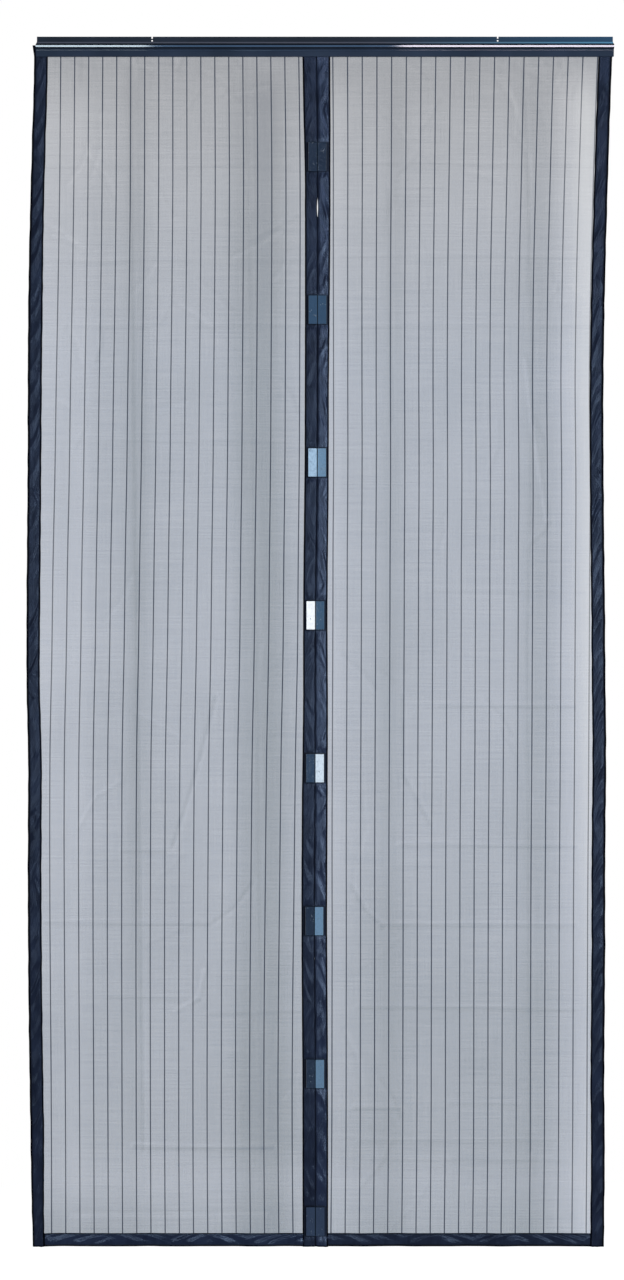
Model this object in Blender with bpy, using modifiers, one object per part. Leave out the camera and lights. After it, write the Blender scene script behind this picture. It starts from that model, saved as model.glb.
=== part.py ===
"""Magnetic insect screen for a doorway, hanging closed.

Two panels of fine striped mesh hang side by side from a clamping rail. Folded tape binds every edge
of both panels, and pairs of magnet bars hold the two middle edges together. +Z is up, +X is to the
right for someone who faces the screen, and the plane y = 0 is the wall that the rail is stuck to.
Depth is counted forward from that wall, so a depth d lies at y = -d. All sizes are in metres.
"""

import math

import bmesh
import bpy
from mathutils import Euler, Vector

# Whole screen
SCREEN_WIDTH = 1.000
SCREEN_HEIGHT = 2.100
CLEARANCE = 0.0003

# Foam tape behind the rail
FOAM_HEIGHT = 0.015
FOAM_THICKNESS = 0.001
FOAM_END_MARGIN = 0.005

# Mounting rail: a plate with a hook along its front
PLATE_HEIGHT = 0.035
PLATE_THICKNESS = 0.0016
HOOK_DROP = 0.0104
HOOK_REACH = 0.0044
HOOK_WALL = 0.0012
HOOK_LIP = 0.0034
SCREW_HOLE_DIAMETER = 0.003
SCREW_HOLE_SPACING = 0.600
SCREW_HOLE_DROP = 0.0070
NOTCH_WIDTH = 0.0026
NOTCH_DEPTH = 0.0035

# Clip rail: one folded wall with a flat-faced bead, a groove, a crowned band and a leaning lip.
# Its rounds are those of the outer surface.
CLIP_WALL = 0.0013
CLIP_OVERHANG = 0.001
BEAD_HEIGHT = 0.0086
BEAD_REACH = 0.0049
BEAD_TOP_ROUND = 0.0034
BEAD_BOTTOM_ROUND = 0.0016
ROUND_STEPS = 7
GROOVE_HEIGHT = 0.0006
BAND_HEIGHT = 0.0026
BAND_STEP = 0.001
BAND_CROWN = 0.0001
BAND_STEPS = 5
STEP_HEIGHT = 0.0013
LIP_LEAN = 0.0006
LIP_OVERHANG = 0.0006
CATCH_PLAY = 0.00045

# Cloth
MESH_THICKNESS = 0.0005
STRIPE_THICKNESS = 0.0008
STRIPE_WIDTH = 0.002
STRIPE_PITCH = 0.0246
BINDING_WALL = 0.0006
BINDING_FOLD = 0.0012
SIDE_BINDING_WIDTH = 0.0236
CENTRE_BINDING_WIDTH = 0.0212
BOTTOM_BINDING_WIDTH = 0.0225
TOP_HEM_WIDTH = 0.017
EDGE_SEAT = 0.004
SEAM_GAP = 0.0004
PUCKER = 0.0005

# Magnet bars
MAGNET_PAIRS = 8
MAGNET_LENGTH = 0.050
MAGNET_WIDTH = 0.0156
MAGNET_THICKNESS = 0.003
MAGNET_BEVEL = 0.0006
MAGNET_INSET = 0.0003
FIRST_MAGNET_DROP = 0.2098
LAST_MAGNET_RISE = 0.0443
LAST_STEP_SHARE = 0.966

# How the cloth hangs: (share of the cloth's height from its top, distance to the right of plumb)
LEFT_EDGE_SWAY = (
    (0.0, -0.0073),
    (0.013, -0.0042),
    (0.063, -0.0074),
    (0.21, -0.0146),
    (0.40, -0.0153),
    (0.58, -0.0157),
    (0.78, -0.0140),
    (0.91, -0.0100),
    (1.0, -0.0066),
)
SEAM_SWAY = (
    (0.0, -0.0146),
    (0.09, -0.0130),
    (0.35, -0.0134),
    (0.475, -0.0165),
    (0.60, -0.0171),
    (0.73, -0.0182),
    (0.855, -0.0168),
    (1.0, -0.0165),
)
RIGHT_EDGE_SWAY = (
    (0.0, -0.0007),
    (0.063, -0.0057),
    (0.21, -0.0144),
    (0.33, -0.0172),
    (0.50, -0.0160),
    (0.60, -0.0132),
    (0.72, -0.0155),
    (0.90, -0.0156),
    (1.0, -0.0177),
)

# The left panel is cut a little off its weave, so its stripes drift away from the seam
LEFT_DRIFT_AT_SEAM = ((0.0, 0.0), (0.30, 0.0019), (0.60, 0.0054), (0.88, 0.0118), (1.0, 0.0115))
LEFT_DRIFT_AT_SIDE = ((0.0, 0.0), (0.21, 0.0064), (0.38, 0.0125), (0.55, 0.0145), (1.0, 0.0143))
NO_DRIFT = ((0.0, 0.0), (1.0, 0.0))
LEFT_FIRST_STRIPE = 0.0279
RIGHT_FIRST_STRIPE = 0.0272
RIGHT_TOP_STRETCH = 0.038
STRETCH_FADE = 6

# Mesh rows: (share of the cloth's height, how far the mesh stands forward there). The lines that
# stand forward are the creases that packing left in the cloth.
CREASE_HEIGHT = 0.0025
MESH_ROWS = (
    (0.013, 0.0),
    (0.096, 1.0),
    (0.20, -0.5),
    (0.32, 0.2),
    (0.44, -0.4),
    (0.549, 1.0),
    (0.67, -0.4),
    (0.80, -0.2),
    (0.926, 1.0),
    (0.974, 0.6),
    (0.987, 0.0),
)

# Slits between the centre bindings: (pair above, share of the step to the next, half length, opening)
SLITS = ((0, 0.33, 0.024, 0.0030), (5, 0.25, 0.010, 0.0012))
SLIT_ROWS = (1.0, 0.5, 0.0, -0.5, -1.0)

# How each bar sits on its tape: (pitch, yaw) in degrees, left bar then right bar of each pair
MAGNET_TILTS = (
    ((0.3, 0.9), (-0.2, 0.6)),
    ((-0.2, -0.85), (0.2, -1.15)),
    ((0.3, -1.55), (-0.2, -0.85)),
    ((0.1, -0.85), (0.2, 0.8)),
    ((0.3, 1.0), (0.1, -1.15)),
    ((0.4, 1.2), (0.2, -1.15)),
    ((-0.3, 0.8), (-0.2, -1.15)),
    ((-0.3, 0.5), (-0.3, -0.5)),
)

SIDE_BINDING_ROWS = 34
CENTRE_BINDING_ROWS = 52
BOTTOM_BINDING_ROWS = 16
BOTTOM_WAVE = 0.0008
HOLE_SIDES = 16

# Puckers along the bindings: the waves are (share of the depth, waves to the length, phase's share)
PUCKER_LENGTH = 0.128
PUCKER_WAVES = ((0.3, 1.0, 1.0), (0.2, 1.7, 2.3))
BOTTOM_PHASE = 2.0
CENTRE_PHASE = 3.0

# Worked out from the values above. Depths are forward of the wall, heights are above the rail's middle.
PLATE_TOP = PLATE_HEIGHT / 2
PLATE_BACK = FOAM_THICKNESS + CLEARANCE
PLATE_FRONT = PLATE_BACK + PLATE_THICKNESS
LEG_OFFSET = MESH_THICKNESS / 2 + CLEARANCE + BINDING_WALL / 2
BOUND_HALF = LEG_OFFSET + BINDING_WALL / 2
CLOTH_DEPTH = PLATE_FRONT + CLEARANCE + BOUND_HALF
LIP_DEPTH = CLOTH_DEPTH + BOUND_HALF + CLEARANCE + CLIP_WALL / 2
HOOK_TOP = PLATE_TOP - HOOK_DROP
HOOK_BOTTOM = HOOK_TOP - HOOK_LIP
HOOK_FRONT = PLATE_FRONT + HOOK_REACH
TONGUE_HEIGHT = HOOK_BOTTOM - CLEARANCE - CLIP_WALL / 2
CLOTH_TOP = TONGUE_HEIGHT - CLIP_WALL / 2 - CLEARANCE
CLOTH_BOTTOM = PLATE_TOP - SCREEN_HEIGHT
LIP_BOTTOM = -PLATE_TOP - LIP_OVERHANG

# Colours, as linear values
RAIL_COLOUR = (0.017, 0.024, 0.040, 1.0)
FOAM_COLOUR = (0.60, 0.60, 0.58, 1.0)
MESH_COLOUR = (0.42, 0.44, 0.48, 1.0)
STRIPE_COLOUR = (0.14, 0.16, 0.21, 1.0)
BINDING_COLOUR = (0.020, 0.028, 0.048, 1.0)
MAGNET_COLOUR = (0.015, 0.040, 0.055, 1.0)


def clear_scene():
    for item in list(bpy.data.objects):
        bpy.data.objects.remove(item)


def new_collection(name):
    collection = bpy.data.collections.new(name)
    bpy.context.scene.collection.children.link(collection)
    return collection


def material(name, colour, roughness, metallic=0.0):
    made = bpy.data.materials.new(name)
    made.use_nodes = True
    made.diffuse_color = colour
    shader = made.node_tree.nodes["Principled BSDF"]
    shader.inputs["Base Color"].default_value = colour
    shader.inputs["Roughness"].default_value = roughness
    shader.inputs["Metallic"].default_value = metallic
    return made


def place(item, collection, finish, parent):
    collection.objects.link(item)
    if not item.data.materials:
        item.data.materials.append(finish)
    item.parent = parent
    return item


def mesh_from(name, form):
    data = bpy.data.meshes.new(name)
    form.to_mesh(data)
    form.free()
    return data


def box_mesh(name, width, depth, height):
    form = bmesh.new()
    bmesh.ops.create_cube(form, size=1.0)
    bmesh.ops.scale(form, vec=(width, depth, height), verts=form.verts)
    return mesh_from(name, form)


def grid_mesh(name, rows, columns, point):
    """An open sheet of quads through point(row, column)."""
    form = bmesh.new()
    knots = [[form.verts.new(point(row, column)) for column in range(columns)] for row in range(rows)]
    for upper, lower in zip(knots, knots[1:]):
        for column in range(columns - 1):
            form.faces.new((upper[column], upper[column + 1], lower[column + 1], lower[column]))
    return mesh_from(name, form)


def thicken(item, thickness):
    """Gives a sheet its wall, half of it on either side."""
    wall = item.modifiers.new("wall", "SOLIDIFY")
    wall.thickness = thickness
    wall.offset = 0.0
    wall.use_even_offset = True
    return wall


def smooth(stations, at):
    """The value at a place along (place, value) stations, on a curve through all of them."""
    last = len(stations) - 1
    here = 0
    while here < last - 1 and stations[here + 1][0] <= at:
        here += 1
    start, end = stations[here], stations[here + 1]
    before, after = stations[max(here - 1, 0)], stations[min(here + 2, last)]
    span = end[0] - start[0]
    start_slope = (end[1] - before[1]) / (end[0] - before[0]) * span
    end_slope = (after[1] - start[1]) / (after[0] - start[0]) * span
    t = (at - start[0]) / span
    return (
        (2 * t**3 - 3 * t**2 + 1) * start[1]
        + (t**3 - 2 * t**2 + t) * start_slope
        + (3 * t**2 - 2 * t**3) * end[1]
        + (t**3 - t**2) * end_slope
    )


def share_at(height):
    """How far down the cloth a height is, from 0 at its top to 1 at its bottom."""
    return (CLOTH_TOP - height) / (CLOTH_TOP - CLOTH_BOTTOM)


def height_at(share):
    return CLOTH_TOP - share * (CLOTH_TOP - CLOTH_BOTTOM)


def left_edge(height):
    return -SCREEN_WIDTH / 2 + smooth(LEFT_EDGE_SWAY, share_at(height))


def right_edge(height):
    return SCREEN_WIDTH / 2 + smooth(RIGHT_EDGE_SWAY, share_at(height))


def seam(height):
    return smooth(SEAM_SWAY, share_at(height))


def magnet_heights():
    """Heights of the pairs' middles: even steps, and a last one that is a little shorter."""
    first = PLATE_TOP - FIRST_MAGNET_DROP
    last = CLOTH_BOTTOM + LAST_MAGNET_RISE
    step = (first - last) / (MAGNET_PAIRS - 2 + LAST_STEP_SHARE)
    return [first - pair * step for pair in range(MAGNET_PAIRS - 1)] + [last]


def slits():
    """(height, half length, opening) of each slit that lies between two pairs."""
    heights = magnet_heights()
    return [
        (heights[pair] + share * (heights[pair + 1] - heights[pair]), half, opening)
        for pair, share, half, opening in SLITS
        if pair + 1 < len(heights)
    ]


def seam_opening(height):
    """How far each centre binding's fold stays from the seam line."""
    opening = SEAM_GAP
    for middle, half, widest in slits():
        away = abs(height - middle) / half
        if away < 1.0:
            opening = max(opening, widest * math.cos(away * math.pi / 2) ** 2)
    return opening / 2


def fade_near(height, middles, flat, ramp):
    """0 within flat of any of the middles, rising to 1 over the ramp beyond it."""
    nearest = min(abs(height - middle) for middle in middles)
    return min(max((nearest - flat) / ramp, 0.0), 1.0)


def pucker_wave(along, shift):
    """How far sewing has drawn a binding's leg off the mesh, from 0 to 1."""
    turn = 2 * math.pi * along / PUCKER_LENGTH
    waves = [share * math.sin(count * turn + phase * shift) for share, count, phase in PUCKER_WAVES]
    return (1 + 2 * sum(waves)) / 2


def even_rows(top, bottom, count):
    return [top + (bottom - top) * row / (count - 1) for row in range(count)]


def binding(name, spine, inward, width, stand_off):
    """Tape folded round an edge of the cloth.

    spine lists the fold's (x, height), inward is the direction from it into the cloth, and stand_off
    gives how far the free edge of a leg stands off the mesh at a row, for front (+1) and back (-1).
    """
    across, up = inward

    def point(row, column):
        x, height = spine[row]
        legs = (
            (width, LEG_OFFSET + stand_off(row, 1)),
            (BINDING_FOLD, LEG_OFFSET),
            (BINDING_WALL / 2, 0.0),
            (BINDING_FOLD, -LEG_OFFSET),
            (width, -LEG_OFFSET - stand_off(row, -1)),
        )
        reach, forward = legs[column]
        return (x + across * reach, -CLOTH_DEPTH - forward, height + up * reach)

    item = bpy.data.objects.new(name, grid_mesh(name, len(spine), 5, point))
    thicken(item, BINDING_WALL)
    return item


def side_binding(name, edge, inward, shift):
    """The tape down a panel's outer edge. Its upper end is gripped flat inside the rail."""
    gripped = (CLOTH_TOP, -PLATE_TOP / 2, LIP_BOTTOM)
    heights = [*gripped, *even_rows(LIP_BOTTOM, CLOTH_BOTTOM, SIDE_BINDING_ROWS)[1:]]

    def stand_off(row, leg):
        if heights[row] >= LIP_BOTTOM:
            return 0.0
        return PUCKER * pucker_wave(heights[row], shift + leg)

    spine = [(edge(height), height) for height in heights]
    return binding(name, spine, (inward, 0.0), SIDE_BINDING_WIDTH, stand_off)


def centre_binding(name, side, shift):
    """The tape down a panel's edge at the seam. It lies flat under the magnets and in the rail."""
    heights = [CLOTH_TOP, LIP_BOTTOM, *even_rows(LIP_BOTTOM, CLOTH_BOTTOM, CENTRE_BINDING_ROWS)[1:]]
    for middle, half, _ in slits():
        clear = [height for height in heights if abs(height - middle) > 1.2 * half]
        heights = sorted([*clear, *(middle + place * half for place in SLIT_ROWS)], reverse=True)
    step = (CLOTH_TOP - CLOTH_BOTTOM) / CENTRE_BINDING_ROWS

    def stand_off(row, leg):
        if heights[row] >= LIP_BOTTOM:
            return 0.0
        flat = fade_near(heights[row], magnet_heights(), MAGNET_LENGTH / 2 + step, step)
        return PUCKER * flat * pucker_wave(heights[row], shift + leg)

    spine = [(seam(height) + side * seam_opening(height), height) for height in heights]
    return binding(name, spine, (side, 0.0), CENTRE_BINDING_WIDTH, stand_off)


def panel_limits(side, heights):
    """The x range between the legs of a panel's two upright bindings, at its narrowest."""
    outer = left_edge if side < 0 else right_edge
    near = [seam(height) + side * (seam_opening(height) + CENTRE_BINDING_WIDTH) for height in heights]
    far = [outer(height) - side * SIDE_BINDING_WIDTH for height in heights]
    if side < 0:
        return max(far) + CLEARANCE, min(near) - CLEARANCE
    return max(near) + CLEARANCE, min(far) - CLEARANCE


def bottom_binding(name, side, shift):
    left, right = panel_limits(side, (CLOTH_BOTTOM, CLOTH_BOTTOM + BOTTOM_BINDING_WIDTH))
    xs = even_rows(left, right, BOTTOM_BINDING_ROWS)

    def stand_off(row, leg):
        return PUCKER * pucker_wave(xs[row], shift + leg)

    spine = [(x, CLOTH_BOTTOM + BOTTOM_WAVE * pucker_wave(x, shift)) for x in xs]
    return binding(name, spine, (0.0, 1.0), BOTTOM_BINDING_WIDTH, stand_off)


def top_hem(name, side):
    left, right = panel_limits(side, (CLOTH_TOP, CLOTH_TOP - TOP_HEM_WIDTH))
    spine = [(left, CLOTH_TOP), ((left + right) / 2, CLOTH_TOP), (right, CLOTH_TOP)]
    return binding(name, spine, (0.0, -1.0), TOP_HEM_WIDTH, lambda row, leg: 0.0)


def stripe_count(side, first):
    """As many stripes as fit between the panel's bindings where it is narrowest."""
    outer = left_edge if side < 0 else right_edge
    drift = LEFT_DRIFT_AT_SIDE if side < 0 else NO_DRIFT
    room = min(
        abs(outer(height_at(share)) - seam(height_at(share))) - smooth(drift, share)
        for share, _ in MESH_ROWS
    )
    return int((room - first - SIDE_BINDING_WIDTH) / STRIPE_PITCH) + 1


def stripe_place(side, first, stripe, stripes, share):
    """How far from the seam a stripe's middle lies."""
    place_in_weave = first + stripe * STRIPE_PITCH
    outwards = stripe / max(stripes - 1, 1)
    if side < 0:
        near, far = smooth(LEFT_DRIFT_AT_SEAM, share), smooth(LEFT_DRIFT_AT_SIDE, share)
        return place_in_weave + near + (far - near) * outwards
    return place_in_weave * (1 + RIGHT_TOP_STRETCH * (1 - share) ** STRETCH_FADE)


def mesh_panel(name, side, first):
    """One panel of mesh: a thin sheet with a ridge of thicker yarn for each stripe."""
    outer = left_edge if side < 0 else right_edge
    stripes = stripe_count(side, first)
    top, bottom = CLOTH_TOP - EDGE_SEAT, CLOTH_BOTTOM + EDGE_SEAT
    rows = [(share_at(top), 0.0), *MESH_ROWS, (share_at(bottom), 0.0)]
    columns = 3 * stripes + 2

    def point(row, column):
        share, stand = rows[row]
        height = height_at(share)
        if column == 0:
            return (seam(height) + side * EDGE_SEAT, -CLOTH_DEPTH, height)
        if column == columns - 1:
            return (outer(height) - side * EDGE_SEAT, -CLOTH_DEPTH, height)
        stripe, part = divmod(column - 1, 3)
        reach = stripe_place(side, first, stripe, stripes, share) + (part - 1) * STRIPE_WIDTH / 2
        rise = math.sin(math.pi * stripe / (stripes - 1)) if stripes > 1 else 0.0
        return (seam(height) + side * reach, -CLOTH_DEPTH - CREASE_HEIGHT * stand * rise, height)

    item = bpy.data.objects.new(name, grid_mesh(name, len(rows), columns, point))
    yarn = item.vertex_groups.new(name="stripes")
    middles = range(2, columns - 1, 3)
    yarn.add([row * columns + middle for row in range(len(rows)) for middle in middles], 1.0, "REPLACE")
    for quad in item.data.polygons:
        column = quad.index % (columns - 1)
        if 0 < column < columns - 2 and column % 3 != 0:
            quad.material_index = 1
    wall = thicken(item, STRIPE_THICKNESS)
    wall.vertex_group = yarn.name
    wall.thickness_vertex_group = MESH_THICKNESS / STRIPE_THICKNESS
    return item


def foam_tape(name):
    data = box_mesh(name, SCREEN_WIDTH - 2 * FOAM_END_MARGIN, FOAM_THICKNESS, FOAM_HEIGHT)
    item = bpy.data.objects.new(name, data)
    item.location.y = -FOAM_THICKNESS / 2
    return item


def cut(item, cutter, collection):
    """Takes the cutter's shape out of the item."""
    collection.objects.link(cutter)
    cutter.hide_render = True
    cutter.display_type = "WIRE"
    taken = item.modifiers.new(cutter.name, "BOOLEAN")
    taken.operation = "DIFFERENCE"
    taken.object = cutter


def mounting_rail(name, cutters):
    """The plate with its hook, extruded along x, with two screw holes and a notch above each."""
    outline = (
        (PLATE_BACK, -PLATE_TOP),
        (PLATE_FRONT, -PLATE_TOP),
        (PLATE_FRONT, HOOK_TOP - HOOK_WALL),
        (HOOK_FRONT - HOOK_WALL, HOOK_TOP - HOOK_WALL),
        (HOOK_FRONT - HOOK_WALL, HOOK_BOTTOM),
        (HOOK_FRONT, HOOK_BOTTOM),
        (HOOK_FRONT, HOOK_TOP),
        (PLATE_FRONT, HOOK_TOP),
        (PLATE_FRONT, PLATE_TOP),
        (PLATE_BACK, PLATE_TOP),
    )
    form = bmesh.new()
    corners = [form.verts.new((-SCREEN_WIDTH / 2, -depth, height)) for depth, height in outline]
    end = form.faces.new(corners)
    grown = bmesh.ops.extrude_face_region(form, geom=[end])
    moved = [part for part in grown["geom"] if isinstance(part, bmesh.types.BMVert)]
    bmesh.ops.translate(form, vec=(SCREEN_WIDTH, 0.0, 0.0), verts=moved)
    bmesh.ops.recalc_face_normals(form, faces=form.faces)
    item = bpy.data.objects.new(name, mesh_from(name, form))
    through = 4 * PLATE_THICKNESS
    for side in (-1, 1):
        x = side * SCREW_HOLE_SPACING / 2
        form = bmesh.new()
        radius = SCREW_HOLE_DIAMETER / 2
        bmesh.ops.create_cone(
            form, cap_ends=True, segments=HOLE_SIDES, radius1=radius, radius2=radius, depth=through
        )
        hole = bpy.data.objects.new(f"hole_cutter_{side}", mesh_from("hole_cutter", form))
        hole.rotation_euler.x = math.pi / 2
        hole.location = (x, -(PLATE_BACK + PLATE_FRONT) / 2, PLATE_TOP - SCREW_HOLE_DROP)
        cut(item, hole, cutters)
        data = box_mesh("notch_cutter", NOTCH_WIDTH, through, 2 * NOTCH_DEPTH)
        notch = bpy.data.objects.new(f"notch_cutter_{side}", data)
        notch.location = (x, -(PLATE_BACK + PLATE_FRONT) / 2, PLATE_TOP)
        cut(item, notch, cutters)
    return item


def clip_path():
    """The middle line of the clip rail's wall, as (depth, height), from its lower edge to its catch."""
    half_wall = CLIP_WALL / 2
    bead_bottom = TONGUE_HEIGHT + CLIP_WALL - BEAD_HEIGHT
    band_top = bead_bottom - GROOVE_HEIGHT - CLIP_WALL
    band_bottom = band_top - BAND_HEIGHT + half_wall
    lip_top = LIP_DEPTH + LIP_LEAN
    path = [(LIP_DEPTH, LIP_BOTTOM), (lip_top, band_bottom - STEP_HEIGHT)]
    for step in range(BAND_STEPS + 1):
        share = step / BAND_STEPS
        crown = 4 * BAND_CROWN * share * (1 - share)
        path.append((lip_top + BAND_STEP + crown, band_bottom + (band_top - band_bottom) * share))
    path.append((lip_top, bead_bottom))
    rounds = (
        (BEAD_BOTTOM_ROUND - half_wall, bead_bottom + BEAD_BOTTOM_ROUND - half_wall, -math.pi / 2),
        (BEAD_TOP_ROUND - half_wall, TONGUE_HEIGHT - BEAD_TOP_ROUND + half_wall, 0.0),
    )
    for radius, height, start in rounds:
        depth = LIP_DEPTH + BEAD_REACH - radius
        for step in range(ROUND_STEPS + 1):
            angle = start + math.pi / 2 * step / ROUND_STEPS
            path.append((depth + radius * math.cos(angle), height + radius * math.sin(angle)))
    catch_depth = HOOK_FRONT - HOOK_WALL - CATCH_PLAY - half_wall
    path.append((catch_depth, TONGUE_HEIGHT))
    path.append((catch_depth, HOOK_TOP - HOOK_WALL - CATCH_PLAY))
    return path


def clip_rail(name):
    """The front profile: one wall that follows the path, drawn along x."""
    path = clip_path()
    ends = (-SCREEN_WIDTH / 2 - CLIP_OVERHANG, SCREEN_WIDTH / 2 + CLIP_OVERHANG)

    def point(row, column):
        depth, height = path[row]
        return (ends[column], -depth, height)

    item = bpy.data.objects.new(name, grid_mesh(name, len(path), 2, point))
    thicken(item, CLIP_WALL)
    return item


def magnet_bars(collection, finish, parent):
    """The bars in pairs down the seam, each lifted so that its tilt leaves it clear of its tape."""
    data = box_mesh("magnet_bar", MAGNET_WIDTH, MAGNET_THICKNESS, MAGNET_LENGTH)
    for pair, height in enumerate(magnet_heights()):
        tilts = MAGNET_TILTS[pair % len(MAGNET_TILTS)]
        for side, word, tilt in ((-1, "left", tilts[0]), (1, "right", tilts[1])):
            pitch, yaw = math.radians(tilt[0]), math.radians(tilt[1])
            item = bpy.data.objects.new(f"magnet_{word}_{pair + 1}", data)
            lift = MAGNET_LENGTH / 2 * abs(math.sin(pitch)) + MAGNET_WIDTH / 2 * abs(math.sin(yaw))
            depth = CLOTH_DEPTH + BOUND_HALF + CLEARANCE + lift + MAGNET_THICKNESS / 2
            x = seam(height) + side * (MAGNET_INSET + MAGNET_WIDTH / 2)
            item.location = Vector((x, -depth, height))
            item.rotation_euler = Euler((pitch, 0.0, yaw))
            rim = item.modifiers.new("rim", "BEVEL")
            rim.width = MAGNET_BEVEL
            rim.segments = 1
            place(item, collection, finish, parent)


def build():
    clear_scene()
    parts = new_collection("magnetic_insect_screen")
    cutters = new_collection("cutters")
    cutters.hide_render = True
    screen = bpy.data.objects.new("screen_origin", None)
    parts.objects.link(screen)

    rail = material("rail plastic", RAIL_COLOUR, 0.35)
    foam = material("foam tape", FOAM_COLOUR, 0.9)
    mesh = material("insect mesh", MESH_COLOUR, 0.85)
    stripe = material("stripe yarn", STRIPE_COLOUR, 0.85)
    tape = material("binding tape", BINDING_COLOUR, 0.6)
    magnet = material("magnet bar", MAGNET_COLOUR, 0.15)

    place(foam_tape("adhesive_tape"), parts, foam, screen)
    place(mounting_rail("mounting_rail", cutters), parts, rail, screen)
    place(clip_rail("clip_rail"), parts, rail, screen)
    for side, word, first in ((-1, "left", LEFT_FIRST_STRIPE), (1, "right", RIGHT_FIRST_STRIPE)):
        edge = left_edge if side < 0 else right_edge
        panel = place(mesh_panel(f"{word}_mesh", side, first), parts, mesh, screen)
        panel.data.materials.append(stripe)
        place(top_hem(f"{word}_top_hem", side), parts, tape, screen)
        place(side_binding(f"{word}_side_binding", edge, -side, side), parts, tape, screen)
        bottom = bottom_binding(f"{word}_bottom_binding", side, BOTTOM_PHASE * side)
        place(bottom, parts, tape, screen)
        centre = centre_binding(f"{word}_centre_binding", side, CENTRE_PHASE * side)
        place(centre, parts, tape, screen)
    magnet_bars(parts, magnet, screen)


build()
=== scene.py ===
import math

import bmesh
import bpy
import numpy as np
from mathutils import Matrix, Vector


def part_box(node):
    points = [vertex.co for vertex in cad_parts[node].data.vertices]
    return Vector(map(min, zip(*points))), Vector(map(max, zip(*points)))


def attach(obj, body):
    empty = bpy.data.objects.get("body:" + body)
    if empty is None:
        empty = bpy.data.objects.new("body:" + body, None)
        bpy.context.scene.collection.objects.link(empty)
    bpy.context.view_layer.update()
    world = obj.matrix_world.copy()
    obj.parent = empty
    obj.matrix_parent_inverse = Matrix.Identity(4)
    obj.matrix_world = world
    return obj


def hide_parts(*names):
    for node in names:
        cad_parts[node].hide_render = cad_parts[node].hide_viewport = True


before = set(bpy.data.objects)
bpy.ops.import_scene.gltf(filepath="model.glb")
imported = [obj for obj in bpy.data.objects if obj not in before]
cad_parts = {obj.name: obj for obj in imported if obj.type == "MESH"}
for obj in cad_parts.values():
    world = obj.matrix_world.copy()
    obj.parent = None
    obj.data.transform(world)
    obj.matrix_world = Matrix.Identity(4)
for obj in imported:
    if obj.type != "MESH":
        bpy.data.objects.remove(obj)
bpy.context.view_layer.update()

# Lengths are in metres

# Mesh panels: the rows' spacing, the columns of faces between two stripes, and how the cloth sways
PANEL_ROW_STEP = 0.0045
GAP_COLUMNS = 6
BILLOW = 0.0009
LONG_WAVE = 0.41
SHORT_WAVE = 0.11
SHORT_WAVE_SHARE = 0.4
FOLD_SWAY = 0.006
# The cloth is held flat near its edges: how far from them this eases, and where it ends
SIDE_EASE = (0.01, 0.07)
TOP_EASE = (0.0, 0.06)
BOTTOM_EASE = (0.02, 0.05)

# Creases, and the short wrinkles called crumples: how far they stand out and how dense they look
CREASE_HALF_WIDTH = 0.003
CREASE_RISE = 0.0008
CREASE_DENSITY = 0.075
CRUMPLES = 70
CRUMPLE_HALF_WIDTH = 1.1 * CREASE_HALF_WIDTH
CRUMPLE_RISE = 0.0004
CRUMPLE_DENSITY = 0.03
CRUMPLE_MARGIN = 0.03
CRUMPLE_LEAN = (0.15, 2.9)
CRUMPLE_REACH = (0.02, 0.055)

# Spacing of the threads in the mesh and in the tape's twill
MESH_PITCH = 0.0013
TWILL_PITCH = 0.0011

# Folded tape: its wall, its fold, and the rows and columns of faces on it
TAPE_WALL = 0.0006
FOLD_RADIUS = 0.00085
FOLD_STEPS = 5
FRONT_COLUMNS = 17
REAR_COLUMNS = 5
TAPE_ROW_STEP = 0.0026
# Distance of the first column from the free edge, and of two columns from the stitch line
EDGE_COLUMN = 0.0009
STITCH_COLUMN = 0.0007
PLAIN_COLUMN = 0.0025

# Stitches: how far in from the free edge, their sizes, and the thread's thickness at shares of
# a stitch's length
STITCH_LINE = 0.0028
STITCH_PITCH = 0.005
STITCH_LENGTH = 0.0034
STITCH_RADIUS = 0.00025
STITCH_STAND = 0.4
STITCH_SHARES = (0.0, 0.15, 0.85, 1.0)
STITCH_THICKNESS = (0.25, 1.0, 1.0, 0.25)
THREAD_SIDES = 4
# How far the stitches stay from an upright tape's ends and from a panel's corners
UPRIGHT_MARGIN = 0.03
BOTTOM_MARGIN = 0.004

# How far a tape's legs stand off the cloth: a soft belly and slanting folds, each with a ridge
# along its crest. The rear legs stand off less, and the centre tapes' folds are lower.
BELLY = 0.0007
RIGHT_CENTRE_BELLY = 0.0012
BELLY_WAVE = 0.062
REAR_SHARE = 0.5
FOLD_RISE = 0.0027
CENTRE_FOLDS = 0.7
FOLD_SLANT = 0.052
FOLD_BEND = 0.012
FOLD_STEP = (0.01, 0.033)
FOLD_COUNT = 400
SIDE_LEAN = 0.6
RIDGE_RISE = 0.00045
RIDGE_HALF_WIDTH = 0.0034
# How the side tapes' folded edges waver
FOLD_EDGE_WAVE = 0.06
FOLD_EDGE_RISE = 0.0004

# Ridges that fan out from the magnet bars' ends
PUCKER_RISE = 0.0013
PUCKER_REACH = 0.02
PUCKER_SPREAD = 0.02
PUCKER_START = 0.012
PUCKER_MIDDLE = 0.45
PUCKER_TURNS = 2.3

# Where the centre tapes meet: the lap, the gap that is drawn shut and the one that isn't, the
# share of the gap that stays open at the slit, and how far the right tape's fold is tucked back
OVERLAP = 0.0003
SHUT_GAP = (0.0004, 0.0012)
SLIT_SHARE = 0.6
TUCK = 0.0012
TUCK_REACH = 0.0045

# The bottom tapes' ends, tucked in between the legs of the upright tapes and flattened there
TUCKED_END = 0.005
END_PINCH = 0.3
PINCH_EASE = (-0.001, 0.003)

# Distances over which the tapes come free below the rail and beyond a bar's ends
FREE_EASE = 0.03
PRESSED_EASE = (0.001, 0.012)

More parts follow.
